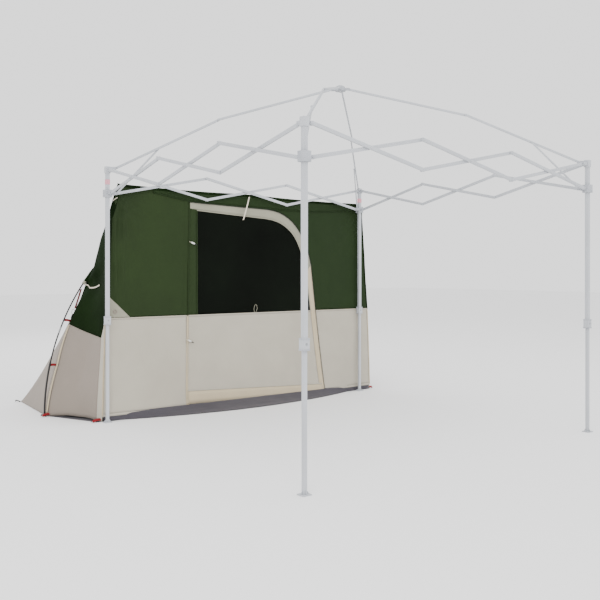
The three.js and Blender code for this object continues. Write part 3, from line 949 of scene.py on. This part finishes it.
def hoop_binding(name, side):
    """The pale tape over the seam between a side and the rear, from the ground to the green."""
    first, last = 0.012, asin(BINDING_TOP / CLOTH_HOOP["height"])
    lift = Vector((side * 0.004, -0.014, 0))
    path = []
    for k in range(31):
        angle = first + (last - first) * k / 30
        path.append(hoop_edge(angle if side < 0 else pi - angle, HOOP["y"]) + lift)
    return ribbon(name, path, (side * 0.42, 0.91, 0), 0.020, "trim")


REAR_FAN = radians(16)    # part of the hoop at each end that is sewn to one rear corner


def rear_point(angle, depth):
    """A point of the rear wall, which fans out from its pegged corners at both ends."""
    top = hoop_edge(angle, HOOP["y"] + 0.002)
    share = clamp((angle - REAR_FAN) / (pi - 2 * REAR_FAN))
    foot = at(HALF - REAR["half"] * cos(pi * share), REAR["y"] - 0.004, FOOT_Z)
    point = top.lerp(foot, depth)
    bend = hump(depth)
    sag = 0.03 * bend * (0.4 + 0.6 * sin(angle))
    rumple = 0.012 * rough(angle * 5, depth * 3, 4.4) * bend
    point.z = max(FOOT_Z, point.z - sag - rumple)
    point.y -= (sag * 0.5 + rumple) * sin(angle)
    return point


SKIRT_Z = 0.92    # height of the seam over the rear's beige skirt, before it sags


def skirt_start(angle):
    """Depth at which the rear wall turns from green to its beige skirt."""
    return max(0.0, 1 - SKIRT_Z / max(SKIRT_Z, CLOTH_HOOP["height"] * sin(angle)))


def rear_pieces():
    first = asin(SKIRT_Z / CLOTH_HOOP["height"])
    last = pi - first
    return [
        grid_piece("rear_green", rear_point, first, last, 0.0, skirt_start, 120, 30, "green_dark"),
        grid_piece("rear_skirt", rear_point, 0.0, pi, skirt_start, 1.0, 130, 14, "beige_side"),
    ]


def pole_sleeve():
    """The sleeve that holds the pole over the top of the hoop, with a pale cuff at each end."""
    last = pi - SLEEVE_START
    path = [
        arch(SLEEVE_START + (last - SLEEVE_START) * k / 120, HOOP["half"] - 0.004,
             HOOP["height"] - 0.004, HOOP["y"])
        for k in range(121)
    ]

    def radius(share):
        return 0.0145 + 0.0012 * sin(share * 210) * sin(share * 57)

    pieces = [tube("pole_sleeve", path, radius, "green_dark", 14)]
    for name, part in (("left", path[:2]), ("right", path[-2:])):
        pieces.append(tube(f"{name}_sleeve_cuff", part, 0.0165, "band", 14))
    return pieces


CANOPY_PIECES = canopy_pieces()
REAR_PIECES = rear_pieces()
for piece in CANOPY_PIECES + REAR_PIECES:
    sewn(piece)
for side, name in SIDES:
    sewn(hoop_binding(f"{name}_hoop_binding", side))
for piece in pole_sleeve():
    soft(piece)
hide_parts("canopy_skin")
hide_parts("rear_wall")

# ---- Ground sheet ----

BOW = 0.24    # how far the ground sheet's front edge bows out in the middle
FRONT_CORNER_Y = 0.025


def bow_line():
    """The front edge of the ground sheet, from the left corner to the right one."""
    bend = cubic((0.12, 0.005), (0.42, -0.12), (0.95, -BOW), (HALF, -BOW))
    right = [(SPAN - x, y) for x, y in reversed(bend[:-1])]
    return [(-0.07, FRONT_CORNER_Y), *bend, *right, (SPAN + 0.20, FRONT_CORNER_Y)]


def bow_at(x):
    """The y of the ground sheet's front edge at x."""
    line = bow_line()
    for (x1, y1), (x2, y2) in zip(line, line[1:]):
        if x1 <= x <= x2 and x2 > x1:
            return y1 + (y2 - y1) * (x - x1) / (x2 - x1)
    return FRONT_CORNER_Y


def ground_sheet():
    """The floor cloth, out to the feet of the sides and of the rear."""
    side_reach = CLOTH_REACH + FLARE["reach"]
    side, back = HOOP["y"], REAR["y"] - 0.003
    outline = [
        *bow_line(), (SPAN + side_reach, side), (SPAN + REAR_REACH, back), (-REAR_REACH, back),
        (-side_reach, side),
    ]
    points, faces = flat_cloth(outline, 0.05)
    vertices = [
        at(p.x, p.y, 0.0015 + 0.003 * max(0.0, rough(p.x * 6, p.y * 6, 0)))
        for p in points
    ]
    return thicken(mesh_object("ground_sheet_cloth", vertices, faces, "floor_cloth"), 0.001)


def tub_edge():
    """The ground sheet's raised front, which climbs from its bow to the hem of the wall."""
    vertices = []
    columns, rows = 90, 10
    for i in range(columns + 1):
        x = -0.02 + (SPAN + 0.19) * i / columns
        reach = min(0.0, bow_at(x))
        for k in range(rows + 1):
            t = k / rows
            wall = -front_relief(x, HEM_Z) + 0.002
            y = wall + (min(reach, wall - 0.01) - wall) * t
            slack = 0.004 * rough(x * 7, t * 3, 8.8) * hump(t)
            vertices.append(at(x, y, max(0.004, 0.004 + (HEM_Z + 0.012) * (1 - t) ** 1.6 + slack)))
    faces = [(a, d, c, b) for a, b, c, d in net_faces(columns, rows)]
    return thicken(mesh_object("ground_sheet_edge", vertices, faces, "floor_cloth"), 0.001)


GROUND = ground_sheet()
sewn(GROUND)
sewn(tub_edge())
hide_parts("ground_sheet")

# ---- Hoop pole ----

POLE_END_SHARE = 0.08    # of the pole at each end, where a thicker end piece covers it
FERRULE_DEGREES = (22, 52, 82, 112, 142, 158)    # places on the hoop


def hoop_pole():
    path = [arch(pi * k / 160, HOOP["half"], HOOP["height"], HOOP["y"]) for k in range(161)]

    def radius(share):
        return HOOP["radius"] + (0.002 if min(share, 1 - share) < POLE_END_SHARE else 0.0)

    return tube("hoop_rod", path, radius, "rod", 12)


def ferrules():
    """Metal sleeves where the sections of the pole meet."""
    pieces = []
    for k, degrees in enumerate(FERRULE_DEGREES):
        start = radians(degrees)
        path = [arch(start + 0.006 * i, HOOP["half"], HOOP["height"], HOOP["y"]) for i in range(6)]
        pieces.append(tube(f"pole_ferrule_{k + 1}", path, HOOP["radius"] + 0.0011, "ferrule", 14))
    return pieces


POLE = soft(hoop_pole())
for piece in ferrules():
    soft(piece)
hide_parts("hoop_pole")

# ---- Straps, clips, pegs and toggles ----


def round_angles(count):
    """Angles spaced evenly round a circle."""
    return [2 * pi * k / count for k in range(count)]


def toggle(name, x, z):
    """A small toggle on a cord loop, sewn to the door's jamb."""
    bend = ((-0.012, 0.008, 0.006), (-0.026, 0.016, 0.02), (-0.006, 0.004, 0.024), (0, 0, 0.016))
    loop = smooth_path([wall_point(x + across, z + up, out) for across, up, out in bend])
    lift = 0.018
    bar = [
        wall_point(x - 0.010 + 0.040 * t, z + 0.008 - 0.016 * t, lift) for t in (0, 0.25, 0.5, 0.75, 1)
    ]
    tip = [wall_point(x + 0.027 + 0.026 * t, z - 0.007 - 0.014 * t, lift) for t in (0, 0.5, 1)]

    def radius(share):
        return 0.0045 + 0.0045 * hump(share) ** 0.5

    return [tube(f"{name}_loop", loop, 0.0016, "cream_cord", 8),
            tube(f"{name}_bar", bar, radius, "toggle_white", 10),
            tube(f"{name}_tip", tip, 0.0042, "black", 10)]


def mesh_loop():
    """The cord loop at the foot of the window."""
    bend = ((1.558, SEAM_Z + 0.006, 0.005), (1.545, 0.955, 0.014), (1.556, 0.992, 0.016),
            (1.574, 0.990, 0.016), (1.582, 0.955, 0.014), (1.570, SEAM_Z + 0.006, 0.005))
    path = smooth_path([wall_point(*spot) for spot in bend])
    return tube("window_loop", path, 0.0022, "band", 8)


def door_strap():
    """The strap that hangs from the truss over the door."""
    points = [at(1.469, -0.045, 2.076), at(1.440, -0.050, 1.98), at(1.399, -0.045, 1.843)]
    path = smooth_path(points, 10)
    return ribbon("door_strap", path, (0.94, 0, 0.28), 0.016, "cream_cord", 0.002)


def corner_patch():
    """A triangular patch with an eyelet, at the level seam beside leg A."""
    corners = [(0.004, 0.92), (0.010, 1.125), (0.228, 0.92)]
    eyelet_x, eyelet_z, eyelet_radius = 0.085, 0.972, 0.015
    ring = [
        wall_point(
            eyelet_x + eyelet_radius * cos(a), eyelet_z + eyelet_radius * sin(a), 0.0075)
        for a in round_angles(24)
    ]
    patch = cloth_panel("corner_patch", corners, "band", 0.004, 0.02)
    return patch, tube("corner_eyelet", ring, 0.0040, "beige_side", 8, closed=True)


def pole_clip(name, z, side):
    """A webbing tab that holds the pole beside the tent."""
    angle = asin(z / HOOP["height"])
    angle = angle if side < 0 else pi - angle
    pole = arch(angle, HOOP["half"], HOOP["height"], HOOP["y"])
    cloth = hoop_edge(angle, HOOP["y"])
    away = (pole - cloth).normalized()
    path = [cloth - away * 0.01, cloth.lerp(pole, 0.5) + Vector((0, 0, 0.002)), pole - away * 0.004]
    ring = [
        pole + away * 0.009 * cos(a) + Vector((0, 0.009 * sin(a), 0))
        for a in round_angles(20)
    ]
    return [ribbon(f"{name}_tab", path, (0, 0, 1), 0.022, "red", 0.002),
            tube(f"{name}_hook", ring, 0.0026, "black", 8, closed=True)]


def on_hoop(x, z, side, lift=0.0):
    """A point in the hoop's plane, measured from the left leg and mirrored on the right."""
    return at(x if side < 0 else SPAN - x, HOOP["y"] - lift, z)


def side_straps(name, side):
    """The cuff tie at the sleeve's end, and the strap whose hook takes up the pole's slack."""
    out = Vector((side * 0.008, 0, 0))
    tie = smooth_path([on_hoop(0.030, 1.213, side, 0.012)] + [
        skin_point(share if side < 0 else 1 - share, depth) + out
        for share, depth in ((0.199, 0.96), (0.190, 0.82), (0.184, 0.62), (0.181, 0.42))
    ], 8)
    web = smooth_path([on_hoop(0.012, 1.165, side), on_hoop(-0.012, 1.090, side, 0.004),
                       on_hoop(-0.045, 0.985, side)], 6)
    ring = [
        on_hoop(-0.064 + 0.013 * cos(a), 0.950 + 0.026 * sin(a), side)
        for a in round_angles(24)
    ]
    bend = ((-0.068, 0.932), (-0.082, 0.900), (-0.074, 0.876), (-0.058, 0.888))
    hook = smooth_path([on_hoop(x, z, side) for x, z in bend], 6)
    return [ribbon(f"{name}_cuff_tie", tie, (0, 0, 1), 0.013, "cream_cord", 0.002),
            ribbon(f"{name}_slack_strap", web, (1, 0, 0.3), 0.018, "red_dark", 0.002),
            tube(f"{name}_slack_ring", ring, 0.0024, "ferrule", 8, closed=True),
            tube(f"{name}_slack_hook", hook, 0.0042, "black", 8)]


def eave_tie():
    """The short strap that ties the top left corner of the wall to the leg."""
    bend = ((0.108, 1.992, 0.006), (0.088, 1.984, 0.016), (0.064, 1.962, 0.010))
    path = smooth_path([wall_point(*spot) for spot in bend])
    return ribbon("eave_tie", path, (0, 0, 1), 0.009, "cream_cord", 0.002)


def peg(name, spot, lean, strap=True):
    """The head of a peg driven in slantwise, with the webbing loop that it holds."""
    spot = Vector(spot)
    bend = ((0.004, 0.004), (0.030, 0.016), (0.048, 0.022), (0.052, 0.010))
    shaft = smooth_path([spot + Vector((lean * x, 0, z)) for x, z in bend])
    pieces = [tube(f"{name}_shaft", shaft, 0.0052, "black", 8)]
    if strap:
        bend = ((-0.040, 0.006, 0.022), (0.004, -0.006, 0.024), (0.046, -0.012, 0.014))
        loop = smooth_path([spot + Vector((lean * x, y, z)) for x, y, z in bend])
        pieces.append(ribbon(f"{name}_loop", loop, (0, 0.6, 0.8), 0.024, "red", 0.002))
    return pieces


CLIP_HEIGHTS = {"upper": 0.88, "lower": 0.47}


def tent_fittings():
    """Everything small that is sewn or hooked to the tent."""
    pieces = toggle("upper_toggle", 0.843, 1.602) + toggle("lower_toggle", 0.806, 0.673)
    pieces += [door_strap(), eave_tie()]
    for side, name in SIDES:
        for level, z in CLIP_HEIGHTS.items():
            pieces += pole_clip(f"{name}_{level}_clip", z, side)
        pieces += side_straps(name, side)
        pole_foot = at(HALF + side * (HOOP["half"] - 0.012), HOOP["y"] - 0.03, 0)
        pieces += peg(f"{name}_pole_peg", pole_foot, side)
        rear_foot = at(HALF + side * (REAR["half"] + 0.005), REAR["y"] - 0.02, 0)
        pieces += peg(f"{name}_rear_peg", rear_foot, side, strap=False)
    pieces += peg("left_front_peg", at(-0.07, 0.02, 0), -1)
    pieces += peg("right_front_peg", at(SPAN + 0.185, 0.02, 0), 1)
    return pieces


for piece in tent_fittings():
    soft(piece)
soft(mesh_loop(), "door")
patch, eyelet = corner_patch()
sewn(patch)
soft(eyelet)

# ---- Fittings on the frame ----


def square_ring(name, centre, half, low, high, material):
    """A band wrapped round a square tube."""
    wall = 0.0018
    vertices, faces = [], []
    corners = ((-1, -1), (1, -1), (1, 1), (-1, 1))
    for size in (half, half + wall):
        for z in (low, high):
            vertices += [Vector((centre.x + size * a, centre.y + size * b, z)) for a, b in corners]
    for k in range(4):
        n = (k + 1) % 4
        faces += [
            (8 + k, 8 + n, 12 + n, 12 + k),
            (n, k, 4 + k, 4 + n),
            (k, n, 8 + n, 8 + k),
            (4 + n, 4 + k, 12 + k, 12 + n),
        ]
    return mesh_object(name, vertices, faces, material, smooth=False)


RIB = {"base": 0.0062, "inner": 0.0127, "outer": 0.030, "toe": 0.004, "height": 0.028, "half": 0.0016}


def gussets(key):
    """Four ribs that brace the inner leg on its foot plate."""
    centre = LEG[key]
    pieces = []
    for k, (a, b) in enumerate(((1, 0), (0, 1), (-1, 0), (0, -1))):
        out = Vector((a, b, 0))
        side = Vector((-b, a, 0)) * RIB["half"]
        base = Vector((centre.x, centre.y, RIB["base"]))
        inner, outer = base + out * RIB["inner"], base + out * RIB["outer"]
        profile = [
            inner, outer, outer + Vector((0, 0, RIB["toe"])), inner + Vector((0, 0, RIB["height"])),
        ]
        vertices = [p + side for p in profile] + [p - side for p in profile]
        faces = [(0, 1, 2, 3), (7, 6, 5, 4)]
        faces += [(n, n + 4, (n + 1) % 4 + 4, (n + 1) % 4) for n in range(4)]
        pieces.append(mesh_object(f"foot_{key}_rib_{k + 1}", vertices, faces, "steel", smooth=False))
    return join_pieces(f"foot_{key}_ribs", pieces)


HOUSING_HALF = 0.0232    # half widths of the bands, just outside the CAD's faces
TUBE_HALF = 0.0153
HOUSING_BANDS = (("collar", 0.861, 0.870), ("lip", 0.926, 0.935))


def frame_fittings():
    """Ribs on the feet, bands round the lock housings and straps round legs A and D."""
    for key in CORNERS:
        ribs = soften(gussets(key), 0.0006)
        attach(ribs, f"leg_{key}_lower")
        upper = ROOT if key == "a" else f"leg_{key}_upper"
        for part, low, high in HOUSING_BANDS:
            band = square_ring(f"leg_{key}_{part}", LEG[key], HOUSING_HALF, low, high, "nylon")
            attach(soften(band, 0.0005), upper)
        if key in "ad":
            strap = square_ring(f"leg_{key}_strap", LEG[key], TUBE_HALF, 2.098, 2.142, "pink")
            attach(soften(strap, 0.0005), upper)


frame_fittings()
